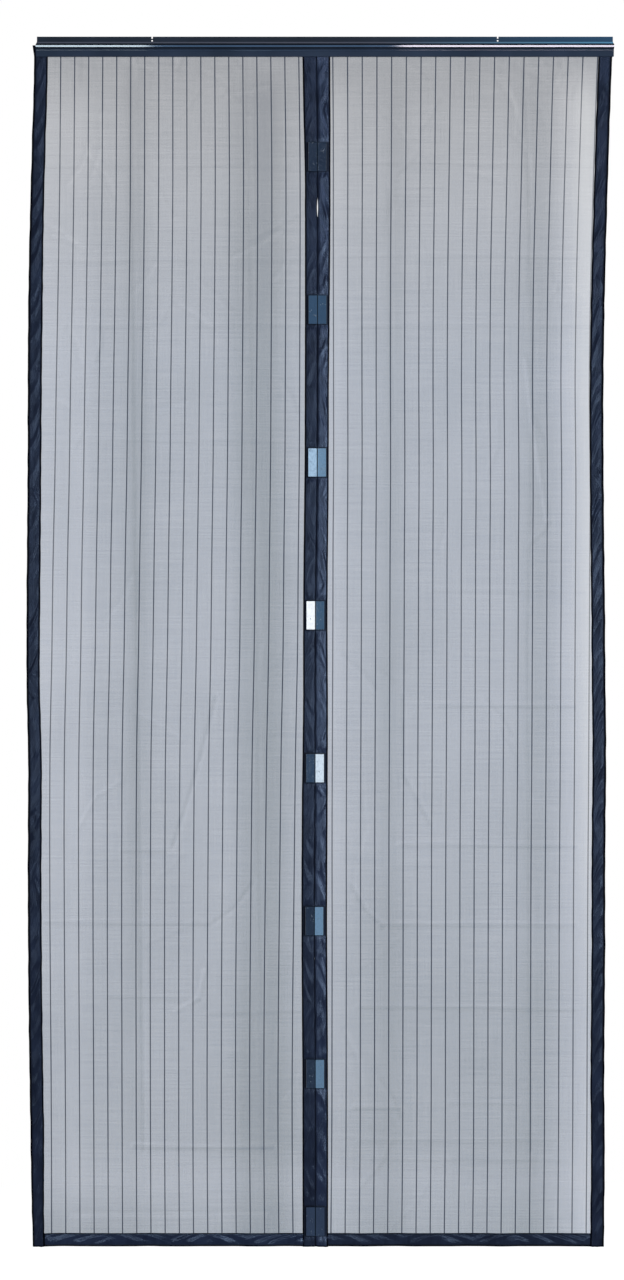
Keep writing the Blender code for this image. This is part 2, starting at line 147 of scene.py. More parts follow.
# How wide the painted shade is along a tape's free edge and at its fold
SIDE_SHADE = (0.0034, 0.0056)
CENTRE_SHADE = (0.004, 0.0009)
BOTTOM_SHADE = (0.0018, 0.005)
# How dark a bar's painted shadow is on a centre tape next to it, and how far from the bar that fades
BAR_SHADE = 0.8
BAR_FADE = (0.0006, 0.0034)

# Each tape's specular level and its least roughness
TAPE_GLOSS = {
    "left_side_tape": (0.138, 0.11),
    "right_side_tape": (0.14, 0.11),
    "left_centre_tape": (0.145, 0.2),
    "right_centre_tape": (0.46, 0.24),
    "left_bottom_tape": (0.36, 0.14),
    "right_bottom_tape": (0.15, 0.14),
    "left_hem_tape": (0.17, 0.16),
    "right_hem_tape": (0.17, 0.16),
}

MAGNET_HALF_LENGTH = 0.025

# Heights on the clip rail: the bottom and top of its bead's face, and the foot of the groove
# below. The finish changes within EDGE_FADE of each, and so does the painted shade in the grooves
# above and below the bead's face.
BEAD_FACE = (-0.003, 0.0003)
GROOVE_FOOT = -0.0046
EDGE_FADE = 0.0003
# Heights between which the painted highlight strip on the mounting rail fades in from below and from
# above
HIGHLIGHT_STRIP_FOOT = (0.0046, 0.0052)
HIGHLIGHT_STRIP_TOP = (0.0086, 0.008)

# Gaps that part one row, and one column, of a solid's points from the next, and how far a tape's
# width may be from its usual one
ROW_GAP = 0.002
COLUMN_GAP = 0.0005
WIDTH_TOLERANCE = 0.0007

# Creases that packing left in the mesh: how dark each one is, and the points that it runs
# through, as (x, z)
CREASES = (
    (-0.3, (-0.49, -0.183), (-0.2, -0.182)),
    (0.35, (-0.49, -0.211), (-0.06, -0.209)),
    (0.4, (-0.49, -0.374), (-0.04, -0.373)),
    (0.45, (-0.45, -0.487), (-0.04, -0.486)),
    (0.3, (-0.48, -0.685), (-0.07, -0.688)),
    (0.8, (-0.35, -1.397), (-0.276, -1.398)),
    (0.8, (-0.486, -1.522), (-0.3, -1.524), (-0.2, -1.524)),
    (0.55, (-0.373, -1.65), (-0.217, -1.655)),
    (0.5, (-0.2, -1.678), (-0.04, -1.677)),
    (1.2, (-0.33, -1.91), (-0.2, -1.913), (-0.09, -1.911)),
    (-0.6, (-0.44, -2.028), (-0.1, -2.026)),
    (0.45, (0.03, -0.205), (0.47, -0.208)),
    (0.4, (0.03, -0.365), (0.44, -0.367)),
    (0.45, (0.06, -0.487), (0.46, -0.486)),
    (0.4, (0.19, -0.946), (0.45, -0.948)),
    (0.8, (0.2, -1.145), (0.434, -1.147)),
    (0.8, (0.13, -1.387), (0.434, -1.39)),
    (1.0, (0.1, -1.526), (0.434, -1.527)),
    (0.8, (0.06, -1.668), (0.434, -1.672)),
    (0.9, (0.052, -1.843), (0.13, -1.845)),
    (0.5, (0.217, -1.835), (0.34, -1.838)),
    (0.5, (0.06, -1.901), (0.4, -1.9)),
    (0.5, (0.08, -1.932), (0.42, -1.934)),
    (0.9, (-0.191, -1.13), (-0.222, -1.25), (-0.265, -1.386)),
    (0.7, (-0.126, -1.45), (-0.16, -1.495), (-0.196, -1.52)),
    (-0.8, (-0.21, -1.6), (-0.222, -1.65), (-0.262, -1.673)),
    (-0.6, (-0.356, -1.273), (-0.4, -1.3), (-0.428, -1.351)),
    (0.7, (0.134, -1.125), (0.135, -1.264), (0.183, -1.351)),
    (0.8, (0.044, -1.455), (0.07, -1.5), (0.1, -1.528)),
    (-0.9, (0.346, -0.544), (0.357, -0.648), (0.383, -0.822)),
    (0.8, (-0.338, -0.02), (-0.331, -0.7), (-0.316, -1.915)),
    (0.4, (-0.137, -0.02), (-0.12, -1.0), (-0.109, -1.915)),
    (0.7, (0.344, -0.02), (0.361, -0.53), (0.351, -1.03), (0.356, -1.915)),
    (0.6, (0.111, -0.25), (0.115, -0.65)),
)

# Long soft folds, upright through a panel: (x, half width, how much thicker the weave looks in its
# upper part, and in its lower part)
SOFT_FOLDS = (
    (-0.49, 0.05, -0.06, -0.02),
    (-0.428, 0.022, -0.035, -0.03),
    (-0.331, 0.02, 0.065, 0.02),
    (-0.145, 0.02, 0.04, 0.05),
    (-0.1, 0.036, 0.105, 0.085),
    (0.018, 0.022, -0.05, -0.02),
    (0.1, 0.045, 0.0, 0.03),
    (0.118, 0.022, 0.05, 0.02),
    (0.24, 0.16, 0.0, 0.025),
    (0.361, 0.03, 0.045, 0.04),
    (0.415, 0.018, -0.04, -0.02),
    (0.458, 0.03, -0.19, -0.11),
)
# Heights between which the lower value gives way to the upper one, and the depth by which the
# folds are full
FOLD_CHANGE = (-1.8, -1.1)
FOLD_DEPTH = 0.12

# The thicker patch at the lower left corner: its x, half width, half height and how much thicker
CORNER_PATCH = (-0.5, 0.14, 0.09, 0.07)

# How much thicker the weave looks at each height
HEIGHT_STATIONS = (-2.09, -2.03, -1.97, -1.9, -1.66, -1.45, -1.1, -0.45, -0.22, -0.12, -0.03, 0.01)
HEIGHT_DENSITY = (0.07, 0.035, -0.005, 0.03, 0.025, 0.005, -0.005, 0.005, 0.01, 0.03, 0.085, 0.1)

# How far the stripes drift sideways at these heights: those at a panel's left edge and those at
# its right edge
DRIFT_STATIONS = (-2.05, -1.8, -1.5, -1.24, -1.03, -0.82, -0.55, -0.3, 0.0)
STRIPE_DRIFT = {
    "left": (
        (0.0027, 0.0027, 0.0013, 0.001, 0.0034, 0.0037, 0.0023, 0.0024, 0.0029),
        (0.0004, -0.0009, -0.0003, -0.0006, 0.0007, -0.0004, -0.0016, -0.0017, -0.0034),
    ),
    "right": (
        (-0.0002, 0.002, 0.003, 0.0029, 0.0028, 0.0018, 0.0005, -0.0002, -0.0001),
        (-0.0001, 0.0019, 0.0039, 0.0053, 0.0052, 0.0043, -0.001, -0.0002, 0.0011),
    ),
}

# How each tape's hang differs from an even one: heights, moves along x and widenings there
NO_CHANGE = (0.0,) * 7
TAPE_HANG = {
    "left_side": (
        (-2.06, -1.98, -1.9, -1.45, -1.24, -1.1, -0.95, -0.7, -0.45, -0.25),
        (-0.0003, -0.001, -0.0008, -0.0006, 0.0008, -0.0022, -0.0022, -0.0004, 0.0, 0.0),
        (-0.0036, -0.0018, 0.0, 0.0, 0.0, -0.0008, 0.0, 0.0, 0.0014, 0.0),
    ),
    "right_side": (
        (-2.06, -1.93, -1.8, -1.55, -1.34, -1.0, -0.6),
        (0.0018, 0.0016, 0.0, 0.0022, 0.0008, 0.0026, 0.0),
        NO_CHANGE,
    ),
    "left_centre": (
        (-2.06, -1.3, -1.13, -0.8, -0.24, -0.11, 0.0),
        NO_CHANGE,
        (0.001, 0.0014, -0.0005, 0.0008, 0.0005, 0.0028, 0.0034),
    ),
    "right_centre": (
        (-2.06, -1.13, -0.9, -0.6, -0.32, -0.11, 0.0),
        NO_CHANGE,
        (0.0008, 0.0008, -0.0008, -0.0016, 0.001, 0.0018, 0.0024),
    ),
}

# Camera: the height that the picture shows at the cloth, and where the camera stands
PICTURE_HEIGHT = 2.2214
CAMERA_X = -0.0224
CAMERA_Z = -1.03
CAMERA_DISTANCE = 3.5
SENSOR = 36.0

# Lights stand in one upright plane in front of the screen. Each is (left, right, bottom, top,
# brightness, colour).
LIGHT_PLANE = -3.9
COOL_WHITE = (0.86, 0.94, 1.0)
BLUE = (0.45, 0.72, 1.0)
SOFT_BLUE = (0.36, 0.66, 1.0)
LIGHTS = {
    "left_window": (-2.4, -1.45, -1.95, -0.05, 8.0, COOL_WHITE),
    "right_window": (1.35, 2.5, -1.95, -0.05, 15.0, COOL_WHITE),
    "left_rail_light": (-1.1, -0.62, 0.95, 1.35, 15.0, (0.76, 0.91, 1.0)),
    "middle_rail_light": (-0.62, 0.3, 0.95, 1.35, 1.8, (0.26, 0.56, 1.0)),
    "right_rail_light": (0.3, 1.12, 0.95, 1.35, 19.0, (0.94, 0.88, 1.0)),
    "upper_right": (0.9, 2.2, 1.55, 2.4, 5.0, BLUE),
    "pane_1": (-0.3, -0.04, -0.1, 0.45, 0.65, (0.22, 0.55, 1.0)),
    "pane_2_left": (-0.3, -0.17, -0.65, -0.1, 5.3, (0.53, 0.76, 1.0)),
    "pane_2_right": (-0.17, -0.04, -0.65, -0.1, 2.6, SOFT_BLUE),
    "pane_3": (-0.3, -0.04, -1.2, -0.65, 7.8, (0.92, 0.96, 1.0)),
    "pane_4": (-0.3, -0.04, -1.75, -1.2, 6.2, (0.75, 0.88, 1.0)),
    "pane_5": (-0.3, -0.04, -2.3, -1.75, 2.4, SOFT_BLUE),
    "pane_6": (-0.3, -0.04, -2.95, -2.3, 1.9, SOFT_BLUE),
    "right_pane_1": (0.06, 0.22, -1.25, -0.7, 0.9, (0.2, 0.56, 1.0)),
    "right_pane_2": (0.06, 0.22, -1.8, -1.25, 0.35, (0.2, 0.52, 1.0)),
}
WATTS_FOR_WHITE = 4.0

# Colours of the room, as light and as a reflection
ROOM_LIGHT = (0.5, 0.51, 0.53)
ROOM_MIRRORED = (0.12, 0.16, 0.32)
WHITE = (1.0, 1.0, 1.0)
BLACK = (0.0, 0.0, 0.0)

# Floor: how much it glows for the camera near the object, its colour as a reflection, and the
# distances between which it turns white
FLOOR_HEIGHT = -2.3
FLOOR_RADIUS = 1.9
FLOOR_GLOW = 0.6
FLOOR_MIRRORED = (0.2, 0.28, 0.55)
GLOW_START = 0.45
GLOW_END = 1.4

rng = np.random.default_rng(11)


# Reading the frame


def node_points(name):
    """A solid's points as an array of (x, y, z)."""
    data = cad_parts[name].data
    flat = np.empty(len(data.vertices) * 3)
    data.vertices.foreach_get("co", flat)
    return flat.reshape(-1, 3)


def clusters(values, gap):
    """The places of the values in groups, where a step larger than gap parts two groups."""
    order = np.argsort(values)
    cuts = np.nonzero(np.diff(values[order]) > gap)[0] + 1
    return np.split(order, cuts)


def mesh_stations(name):
    """The heights of a panel's rows, and each row's columns as x and y. Rows that lack a column are
    left out."""
    points = node_points(name)
    found = []
    for row in clusters(points[:, 2], ROW_GAP):
        parts = [row[group] for group in clusters(points[row, 0], COLUMN_GAP)]
        middles = [[points[part, 0].mean(), points[part, 1].mean()] for part in parts]
        found.append((points[row, 2].mean(), middles))
    most = max(len(middles) for _, middles in found)
    full = [(height, middles) for height, middles in found if len(middles) == most]
    return np.array([height for height, _ in full]), np.array([middles for _, middles in full])


def tape_stations(name, along, across, fold_side):
    """Places along a folded tape, where its fold is at each, and the tape's width. Along and across
    are axis numbers. Places where the section is incomplete are left out."""
    points = node_points(name)
    places, folds, widths = [], [], []
    for row in clusters(points[:, along], ROW_GAP):
        values = points[row, across]
        places.append(points[row, along].mean())
        folds.append(values.min() if fold_side < 0 else values.max())
        widths.append(values.max() - values.min())
    width = float(np.median(widths))
    whole = np.abs(np.array(widths) - width) < WIDTH_TOLERANCE
    return np.array(places)[whole], np.array(folds)[whole], width


# Curves and shapes


def through(places, values, at):
    """Values at the given places on a smooth curve through the stations, which never swings past
    them."""
    spans = np.diff(places)
    rises = (np.diff(values, axis=0).T / spans).T
    before, after = rises[:-1], rises[1:]
    same_way = before * after > 0
    total = np.where(same_way, before + after, 1.0)
    inner = np.where(same_way, 2 * before * after / total, 0.0)
    slopes = np.concatenate([rises[:1], inner, rises[-1:]])
    low = np.clip(np.searchsorted(places, at) - 1, 0, len(places) - 2)
    span = spans[low]
    t = (at - places[low]) / span
    if values.ndim > 1:
        span, t = span[:, None], t[:, None]
    return (
        (2 * t**3 - 3 * t**2 + 1) * values[low]
        + (t**3 - 2 * t**2 + t) * span * slopes[low]
        + (3 * t**2 - 2 * t**3) * values[low + 1]
        + (t**3 - t**2) * span * slopes[low + 1]
    )


def soft_step(values, start, end):
    """0 up to start, 1 from end, and a smooth rise between them."""
    t = np.clip((values - start) / (end - start), 0.0, 1.0)
    return t * t * (3 - 2 * t)


def bell(distance, half_width):
    """1 at no distance, falling softly to nearly 0 at twice the half width."""
    return np.exp(-((distance / half_width) ** 2))


def ripple(along, across, shift):
    """Smooth, uneven waves from -1 to 1, with about one wave for each unit along."""
    return (
        0.45 * np.sin(2 * math.pi * along + shift + 1.3 * np.sin(0.9 * along + shift))
        + 0.3 * np.sin(2 * math.pi * (0.61 * along + 0.8 * across) + 2.1 * shift)
        + 0.25 * np.sin(2 * math.pi * (1.7 * along - 0.5 * across) + 3.7 * shift)
    )


def add_object(name, data):
    made = bpy.data.objects.new(name, data)
    bpy.context.scene.collection.objects.link(made)
    return made


def grid_object(name, points, finish):
    """A sheet of quads through points, an array of (rows, columns, 3)."""
    rows, columns = points.shape[:2]
    corners = np.arange(rows * columns).reshape(rows, columns)
    quads = np.stack(
        [corners[:-1, :-1], corners[:-1, 1:], corners[1:, 1:], corners[1:, :-1]], axis=-1
    ).reshape(-1, 4)
    data = bpy.data.meshes.new(name)
    data.from_pydata(points.reshape(-1, 3).tolist(), [], quads.tolist())
    data.materials.append(finish)
    data.polygons.foreach_set("use_smooth", np.ones(len(quads), bool))
    data.update()
    return add_object(name, data)


def point_attribute(data, name, values):
    """Gives a mesh one number for each point, for its material to read."""
    made = data.attributes.new(name, "FLOAT", "POINT")
    made.data.foreach_set("value", np.asarray(values, np.float32).ravel())


def give_wall(made, thickness):
    """Thickens a sheet by half on either side, and keeps the result as its own mesh."""
    wall = made.modifiers.new("wall", "SOLIDIFY")
    wall.thickness = thickness
    wall.offset = 0.0
    wall.use_even_offset = True
    graph = bpy.context.evaluated_depsgraph_get()
    shaped = bpy.data.meshes.new_from_object(
        made.evaluated_get(graph), preserve_all_data_layers=True, depsgraph=graph
    )
    made.modifiers.clear()
    made.data = shaped


# Node helpers


def feed(node, name, source):
    """Links another node's socket to a node's input."""
    node.id_data.links.new(source, node.inputs[name])


def calc(operation, first, second=None, third=None):
    """A Math node's result. Its inputs are numbers or sockets, one of the first two a socket."""
    socket = first if isinstance(first, bpy.types.NodeSocket) else second
    made = socket.id_data.nodes.new("ShaderNodeMath")
    made.operation = operation
    for number, value in enumerate((first, second, third)):
        if isinstance(value, bpy.types.NodeSocket):
            feed(made, number, value)
        elif value is not None:
            made.inputs[number].default_value = value
    return made.outputs[0]


def mix(share, first, second):
    """The first colour at a share of 0 and the second at 1. Each is a tuple or a socket."""
    made = share.id_data.nodes.new("ShaderNodeMix")
    made.data_type = "RGBA"
    for number, value in ((0, share), (6, first), (7, second)):
        if isinstance(value, tuple):
            made.inputs[number].default_value = (*value, 1.0)
        else:
            feed(made, number, value)
    return made.outputs[2]


def noise(place, scale, detail=3.0, rough=0.5, stretch=None):
    """Noise from 0 to 1. stretch scales the coordinates first, along x, y and z."""
    if stretch is not None:
        mapping = place.id_data.nodes.new("ShaderNodeMapping")
        mapping.inputs["Scale"].default_value = stretch
        feed(mapping, "Vector", place)
        place = mapping.outputs[0]
    made = place.id_data.nodes.new("ShaderNodeTexNoise")
    made.inputs["Scale"].default_value = scale
    made.inputs["Detail"].default_value = detail
    made.inputs["Roughness"].default_value = rough
    feed(made, "Vector", place)
    return made.outputs[0]


def ramp(value, low, high, to_low=0.0, to_high=1.0):
    """value from low to high becomes to_low to to_high, and stays there outside them."""
    made = value.id_data.nodes.new("ShaderNodeMapRange")
    feed(made, "Value", value)
    made.inputs["From Min"].default_value = low
    made.inputs["From Max"].default_value = high
    made.inputs["To Min"].default_value = to_low
    made.inputs["To Max"].default_value = to_high
    return made.outputs[0]


def axes_of(place):
    """The sockets of a place's x, y and z, by name."""
    made = place.id_data.nodes.new("ShaderNodeSeparateXYZ")
    feed(made, 0, place)
    return made.outputs


def wave(value, length):
    """A sine wave along the value, one for each length."""
    turn = 2 * math.pi / length
    return calc("SINE", calc("MULTIPLY", value, turn))


def cells(place, scale):
    """Distance from the middle of the nearest of many small cells."""
    made = place.id_data.nodes.new("ShaderNodeTexVoronoi")
    made.inputs["Scale"].default_value = scale
    feed(made, "Vector", place)
    return made.outputs["Distance"]


def attribute(material, name):
    made = material.node_tree.nodes.new("ShaderNodeAttribute")
    made.attribute_name = name
    return made.outputs["Fac"]


def bump(height, distance, strength):
    made = height.id_data.nodes.new("ShaderNodeBump")
    made.inputs["Distance"].default_value = distance
    made.inputs["Strength"].default_value = strength
    feed(made, "Height", height)
    return made.outputs[0]


def new_material(name):
    """A material with its shader and the socket for places on the object."""
    made = bpy.data.materials.new(name)
    made.use_nodes = True
    nodes = made.node_tree.nodes
    return made, nodes["Principled BSDF"], nodes.new("ShaderNodeTexCoord").outputs["Object"]


# Materials


def thread_pattern(axes):
    """Warp and weft threads of an open weave: 1 on a thread's middle, 0 in a hole's middle."""
    higher = calc("MAXIMUM", wave(axes["X"], MESH_PITCH), wave(axes["Z"], MESH_PITCH))
    return calc("MULTIPLY_ADD", higher, 0.5, 0.5)


def insect_mesh(name, yarn, dense_yarn, top_yarn, cover, spread):
    """Open weave: yarn is its colour, dense_yarn its colour where it is dense, top_yarn its colour
    near the top, and cover the share of it that isn't hole. The "dense" attribute adds to the cover
    where the weave is creased."""
    made, shader, place = new_material(name)
    axes = axes_of(place)
    weave = thread_pattern(axes)
    cloud = noise(place, 4.5, 5.0, 0.6)
    warp_slubs = noise(place, 1.0, 3.0, 0.6, (420.0, 1.0, 9.0))
    weft_slubs = noise(place, 1.0, 3.0, 0.6, (9.0, 1.0, 420.0))
    slubs = calc("MULTIPLY_ADD", warp_slubs, 0.5, weft_slubs)
    uneven = calc("MULTIPLY_ADD", slubs, 0.13, -0.0975)
    drift = calc("MULTIPLY_ADD", cloud, 0.1, -0.05)
    threads = calc("MULTIPLY_ADD", weave, spread, cover - 0.66 * spread)
    varied = calc("ADD", calc("ADD", threads, uneven), drift)
    creased = attribute(made, "dense")
    opened = calc("ADD", varied, creased)
    opened.node.use_clamp = True
    feed(shader, "Alpha", opened)
    thick = ramp(calc("ADD", drift, creased), -0.06, 0.1)
    colour = mix(thick, yarn, dense_yarn)
    near_top = ramp(axes["Z"], -0.55, -0.05, 0.0, 0.9)
    feed(shader, "Base Color", mix(near_top, colour, top_yarn))
    feed(shader, "Roughness", ramp(warp_slubs, 0.3, 0.7, 0.75, 0.92))
    feed(shader, "Normal", bump(weave, 0.0001, 0.5))
    shader.inputs["Specular IOR Level"].default_value = 0.25
    return made


def woven_tape(name, deep, pale, shine, smooth_at):
    """Satin tape: fine twill ribs and faint streaks along it. Where the "edge" attribute says,
    painted shade makes it nearly black and matt: along its edges, and beside the bars. shine is
    the specular level and smooth_at the least roughness."""
    made, shader, place = new_material(name)
    axes = axes_of(place)
    diagonal = calc("ADD", axes["X"], axes["Z"])
    counter = calc("SUBTRACT", axes["X"], axes["Z"])
    first, second = wave(diagonal, TWILL_PITCH), wave(counter, TWILL_PITCH)
    ribs = calc("MULTIPLY", first, second)
    streaks = noise(place, 1.0, 4.0, 0.6, (260.0, 60.0, 14.0))
    patches = noise(place, 26.0)
    tone = calc("ADD", calc("MULTIPLY", streaks, 0.55), patches)
    colour = mix(ramp(tone, 0.45, 1.05), deep, pale)
    # Painted shade: nearly black and matt where the "edge" attribute says
    edge = attribute(made, "edge")
    feed(shader, "Base Color", mix(edge, colour, (0.001, 0.001, 0.002)))
    satin = ramp(streaks, 0.3, 0.7, smooth_at, smooth_at + 0.06)
    feed(shader, "Roughness", calc("MAXIMUM", satin, edge))
    feed(shader, "Normal", bump(ribs, 0.00006, 0.4))
    shader.inputs["Specular IOR Level"].default_value = shine
    shader.inputs["Specular Tint"].default_value = (0.56, 0.71, 1.0, 1.0)
    return made


def sewing_thread(name):
    """Dark twisted thread."""
    made, shader, place = new_material(name)
    twist = noise(place, 900.0, 2.0, 0.5)
    shade = ramp(twist, 0.35, 0.65)
    colour = mix(shade, (0.005, 0.007, 0.013), (0.014, 0.02, 0.034))
    feed(shader, "Base Color", colour)
    feed(shader, "Roughness", ramp(twist, 0.3, 0.7, 0.45, 0.6))
    shader.inputs["Specular IOR Level"].default_value = 0.1
    return made


def extruded_plastic(name, deep, pale, smooth_at, shine):
    """Dark plastic with fine drawing lines along x and a little handling haze. smooth_at is the
    least roughness. Gives the parts of the material, so that a caller can add to them."""
    made, shader, place = new_material(name)
    lines = noise(place, 1.0, 2.0, 0.5, (0.5, 1100.0, 1100.0))
    haze = noise(place, 9.0, 4.0, 0.55)
    colour = mix(ramp(haze, 0.35, 0.65), deep, pale)
    feed(shader, "Base Color", colour)
    drawn = ramp(lines, 0.3, 0.7, smooth_at, smooth_at + 0.08)
    handled = ramp(haze, 0.3, 0.7, 0.0, 0.06)
    feed(shader, "Roughness", calc("ADD", drawn, handled))
    feed(shader, "Normal", bump(lines, 0.000006, 0.4))
    shader.inputs["Specular IOR Level"].default_value = shine
    return made, shader, colour, axes_of(place)


def plate_plastic():
    """The plate's plastic, with a painted blue reflection towards its right end and a painted
    highlight strip along its hook.
    """
    made, shader, colour, axes = extruded_plastic(
        "plate_plastic", (0.008, 0.011, 0.016), (0.012, 0.017, 0.026), 0.4, 0.06
    )
    # Painted reflection: a blue tint that grows towards the plate's right end
    painted_reflection_share = ramp(axes["X"], 0.1, 0.5)
    with_painted_reflection = mix(painted_reflection_share, colour, (0.014, 0.042, 0.078))
    # Painted highlight: a paler strip along the hook, also bluer towards the right end
    above = ramp(axes["Z"], *HIGHLIGHT_STRIP_FOOT)
    below = ramp(axes["Z"], *HIGHLIGHT_STRIP_TOP)
    painted_highlight_strip = calc("MULTIPLY", calc("MULTIPLY", above, below), 0.75)
    painted_highlight_colour = mix(painted_reflection_share, (0.055, 0.058, 0.075), (0.075, 0.21, 0.31))
    feed(shader, "Base Color", mix(painted_highlight_strip, with_painted_reflection, painted_highlight_colour))
    return made


def clip_plastic():
    """The clip profile's plastic: glossy on the bead's face, less so on the band, and dull in the two
    grooves above and below the bead's face, where painted shade makes it nearly black."""
    made, shader, colour, axes = extruded_plastic(
        "clip_plastic", (0.01, 0.016, 0.027), (0.016, 0.024, 0.04), 0.45, 0.04
    )
    height = axes["Z"]
    over_face = ramp(height, BEAD_FACE[1] - EDGE_FADE, BEAD_FACE[1] + EDGE_FADE)
    under_face = ramp(height, BEAD_FACE[0] + EDGE_FADE, BEAD_FACE[0] - EDGE_FADE)
    over_band = ramp(height, GROOVE_FOOT - EDGE_FADE, GROOVE_FOOT + EDGE_FADE)
    lower_groove = calc("MULTIPLY", under_face, over_band)
    grooves_painted_dark = calc("MAXIMUM", over_face, lower_groove)
    open_face = calc("SUBTRACT", 1.0, grooves_painted_dark)
    gloss = ramp(under_face, 0.0, 1.0, 0.95, 0.3)
    feed(shader, "Coat Weight", calc("MULTIPLY", gloss, open_face))
    # Painted shade: the grooves above and below the bead's face are nearly black
    feed(shader, "Base Color", mix(grooves_painted_dark, colour, (0.002, 0.003, 0.005)))
    shader.inputs["Coat Roughness"].default_value = 0.05
    return made


def magnet_finish(name):
    """Gloss coated magnet: a mirror-like face, a little hazy, with specks of dust and chips."""
    made, shader, place = new_material(name)
    tint = noise(place, 60.0)
    shade = ramp(tint, 0.3, 0.7)
    colour = mix(shade, (0.004, 0.009, 0.014), (0.007, 0.014, 0.021))
    small = ramp(cells(place, 330.0), 0.26, 0.18)
    rare = ramp(noise(place, 110.0, 2.0, 0.5), 0.55, 0.6)
    dust = calc("MULTIPLY", small, rare)
    feed(shader, "Base Color", mix(dust, colour, (0.05, 0.07, 0.08)))
    haze = ramp(noise(place, 210.0, 4.0, 0.6), 0.35, 0.7, 0.03, 0.12)
    dull = calc("MULTIPLY", dust, 0.75)
    feed(shader, "Roughness", calc("MAXIMUM", haze, dull))
    feed(shader, "Normal", bump(tint, 0.00003, 0.4))
    shader.inputs["IOR"].default_value = 1.95
    return made


def foam(name):
    """Pale foam with small closed cells, darker in each cell's hollow as painted shade."""
    made, shader, place = new_material(name)
    bubbles = cells(place, 900.0)
    # Painted shade: each cell's hollow is darker
    colour = mix(bubbles, (0.42, 0.42, 0.4), (0.66, 0.66, 0.63))
    feed(shader, "Base Color", colour)
    feed(shader, "Normal", bump(bubbles, 0.0003, 0.7))
    feed(shader, "Roughness", ramp(bubbles, 0.0, 1.0, 0.8, 0.95))
    return made


solid_finishes = {
    "mounting_rail": plate_plastic(),
    "clip_rail": clip_plastic(),
    "adhesive_tape": foam("foam_tape"),
}
mesh_finish = insect_mesh(
    "insect_mesh", (0.044, 0.082, 0.15), (0.05, 0.078, 0.11), (0.086, 0.087, 0.098), 0.61, 0.24
)
stripe_grey = (0.036, 0.042, 0.056)
stripe_finish = insect_mesh("stripe_yarn", stripe_grey, stripe_grey, stripe_grey, 0.96, 0.08)
tape_finishes = {
    tape: woven_tape(f"{tape}_weave", (0.004, 0.005, 0.009), (0.011, 0.015, 0.027), *gloss)
    for tape, gloss in TAPE_GLOSS.items()
}
# A near-black tape with little specular, for the faces in painted shade along the tapes' edges and on
# their first row
edge_shade_finish = woven_tape("binding_edge_shade", (0.002, 0.003, 0.005), (0.004, 0.006, 0.01), 0.02, 0.19)
thread_finish = sewing_thread("sewing_thread")
bar_finish = magnet_finish("magnet_gloss")

magnets = [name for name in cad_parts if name.startswith("magnet_")]
for name in magnets:
    solid_finishes[name] = bar_finish
for name, finish in solid_finishes.items():
    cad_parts[name].material_slots[0].material = finish

# Where things are in the frame: the bars' middle heights, the rail's lip, and the cloth's lower
# end and middle depth
magnet_middles = sorted(
    {round(sum(corner.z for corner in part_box(name)) / 2, 3) for name in magnets}
)
lip_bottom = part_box("clip_rail")[0].z
cloth_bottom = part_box("left_side_binding")[0].z
cloth_y = sum(corner.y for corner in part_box("left_top_hem")) / 2


# Mesh panels


def crease_marks(x, z, points, half_width):
    """A line's mark on the mesh: 1 along it, and a weaker opposite mark along its upper side."""
    mark = np.zeros_like(x)
    for start, end in zip(points, points[1:]):
        way = np.array(end) - np.array(start)
        length = np.linalg.norm(way)
        way = way / length
        along = np.clip((x - start[0]) * way[0] + (z - start[1]) * way[1], 0.0, length)
        away_x, away_z = x - start[0] - along * way[0], z - start[1] - along * way[1]
        distance = np.hypot(away_x, away_z)
        side = np.sign(away_z * way[0] - away_x * way[1])
        beside = bell(side * distance - 2.2 * half_width, half_width)
        here = bell(distance, half_width) - 0.5 * beside
        mark = np.where(np.abs(here) > np.abs(mark), here, mark)
    return mark


def crumple_line(low, high):
    """A short random wrinkle inside the panel's box, more often near its top."""
    x = rng.uniform(low.x + CRUMPLE_MARGIN, high.x - CRUMPLE_MARGIN)
    z = high.z - (high.z - low.z) * rng.uniform(0.01, 1.0) ** 2.4
    lean = rng.uniform(*CRUMPLE_LEAN)
    reach = rng.uniform(*CRUMPLE_REACH)
    aside, up = reach * math.cos(lean), reach * math.sin(lean)
    return (x - aside, z - up), (x + 0.2 * up, z), (x + aside, z + up)


